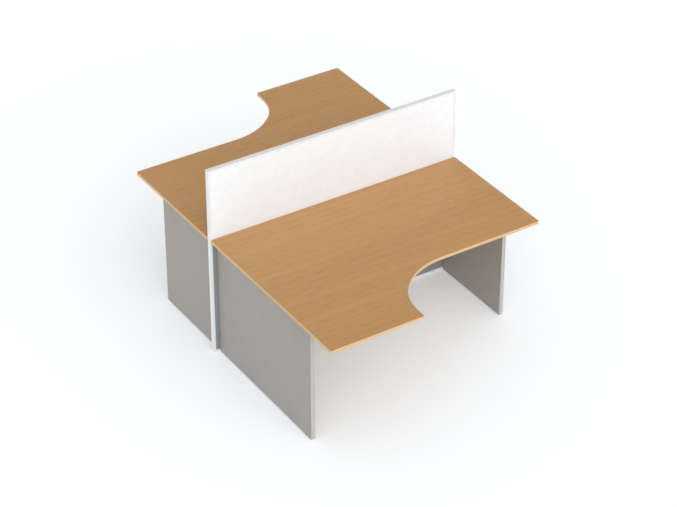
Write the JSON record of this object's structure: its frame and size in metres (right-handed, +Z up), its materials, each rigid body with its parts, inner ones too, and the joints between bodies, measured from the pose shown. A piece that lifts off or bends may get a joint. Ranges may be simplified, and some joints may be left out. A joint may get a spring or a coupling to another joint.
{
  "type": "back-to-back workstation",
  "caption": "Back-to-back study workstation: L-shaped beech desktops with curved user bays and grey panel legs, either side of a framed white and grey screen.",
  "frame": {"origin": "on the floor at the centre of the screen", "axes": "+X along the screen, towards the front desk's shallow end; +Y towards the rear desk; +Z up"},
  "size_m": [1.6, 2.434, 1.18],
  "materials": {
    "beech_decor": "satin beech-decor laminate",
    "beech_edging": "satin edging band",
    "grey_board": "matt grey laminate",
    "grey_edging": "satin edging band",
    "white_frame": "white powder coat on extruded aluminium",
    "white_fabric": "fine plain weave",
    "core_board": "raw softboard",
    "steel": "zinc plated",
    "zinc": "die-cast zinc",
    "black_plastic": "moulded nylon",
    "cap_plastic": "moulded cap",
    "dowel_wood": "fluted beech"
  },
  "bodies": {
    "workstation": {"front_desktop": "beech_decor", "front_desktop_edging": "beech_edging", "front_deep_leg": "grey_board", "front_deep_leg_edging": "grey_edging", "front_shallow_leg": "grey_board", "front_shallow_leg_edging": "grey_edging", "front_modesty_panel": "grey_board", "front_cams": "zinc", "front_cam_caps": "cap_plastic", "front_cam_bolts": "steel", "front_dowels": "dowel_wood", "front_leg_sleeves": "steel", "front_screen_brackets": "steel", "front_bracket_screws": "steel", "rear_desktop": "beech_decor", "rear_desktop_edging": "beech_edging", "rear_deep_leg": "grey_board", "rear_deep_leg_edging": "grey_edging", "rear_shallow_leg": "grey_board", "rear_shallow_leg_edging": "grey_edging", "rear_modesty_panel": "grey_board", "rear_cams": "zinc", "rear_cam_caps": "cap_plastic", "rear_cam_bolts": "steel", "rear_dowels": "dowel_wood", "rear_leg_sleeves": "steel", "rear_screen_brackets": "steel", "rear_bracket_screws": "steel", "left_stile": "white_frame", "right_stile": "white_frame", "top_rail": "white_frame", "bottom_rail": "white_frame", "mid_rail": "white_frame", "lower_infill": "grey_board", "upper_infill_core": "core_board", "front_fabric": "white_fabric", "rear_fabric": "white_fabric", "corner_keys": "steel", "corner_key_screws": "steel", "screen_sleeves": "steel"},
    "front_deep_leg_front_glide": {"front_deep_leg_front_glide": "black_plastic"},
    "front_deep_leg_back_glide": {"front_deep_leg_back_glide": "black_plastic"},
    "front_shallow_leg_front_glide": {"front_shallow_leg_front_glide": "black_plastic"},
    "front_shallow_leg_back_glide": {"front_shallow_leg_back_glide": "black_plastic"},
    "rear_deep_leg_front_glide": {"rear_deep_leg_front_glide": "black_plastic"},
    "rear_deep_leg_back_glide": {"rear_deep_leg_back_glide": "black_plastic"},
    "rear_shallow_leg_front_glide": {"rear_shallow_leg_front_glide": "black_plastic"},
    "rear_shallow_leg_back_glide": {"rear_shallow_leg_back_glide": "black_plastic"},
    "screen_left_glide": {"screen_left_glide": "black_plastic"},
    "screen_right_glide": {"screen_right_glide": "black_plastic"}
  },
  "joints": [
    {"name": "front_deep_leg_front_glide_screw", "type": "slide", "parent": "workstation", "child": "front_deep_leg_front_glide", "axis": [0, 0, -1], "range_m": [0, 0.01]},
    {"name": "front_deep_leg_back_glide_screw", "type": "slide", "parent": "workstation", "child": "front_deep_leg_back_glide", "axis": [0, 0, -1], "range_m": [0, 0.01]},
    {"name": "front_shallow_leg_front_glide_screw", "type": "slide", "parent": "workstation", "child": "front_shallow_leg_front_glide", "axis": [0, 0, -1], "range_m": [0, 0.01]},
    {"name": "front_shallow_leg_back_glide_screw", "type": "slide", "parent": "workstation", "child": "front_shallow_leg_back_glide", "axis": [0, 0, -1], "range_m": [0, 0.01]},
    {"name": "rear_deep_leg_front_glide_screw", "type": "slide", "parent": "workstation", "child": "rear_deep_leg_front_glide", "axis": [0, 0, -1], "range_m": [0, 0.01]},
    {"name": "rear_deep_leg_back_glide_screw", "type": "slide", "parent": "workstation", "child": "rear_deep_leg_back_glide", "axis": [0, 0, -1], "range_m": [0, 0.01]},
    {"name": "rear_shallow_leg_front_glide_screw", "type": "slide", "parent": "workstation", "child": "rear_shallow_leg_front_glide", "axis": [0, 0, -1], "range_m": [0, 0.01]},
    {"name": "rear_shallow_leg_back_glide_screw", "type": "slide", "parent": "workstation", "child": "rear_shallow_leg_back_glide", "axis": [0, 0, -1], "range_m": [0, 0.01]},
    {"name": "screen_left_glide_screw", "type": "slide", "parent": "workstation", "child": "screen_left_glide", "axis": [0, 0, -1], "range_m": [0, 0.01]},
    {"name": "screen_right_glide_screw", "type": "slide", "parent": "workstation", "child": "screen_right_glide", "axis": [0, 0, -1], "range_m": [0, 0.01]}
  ]
}
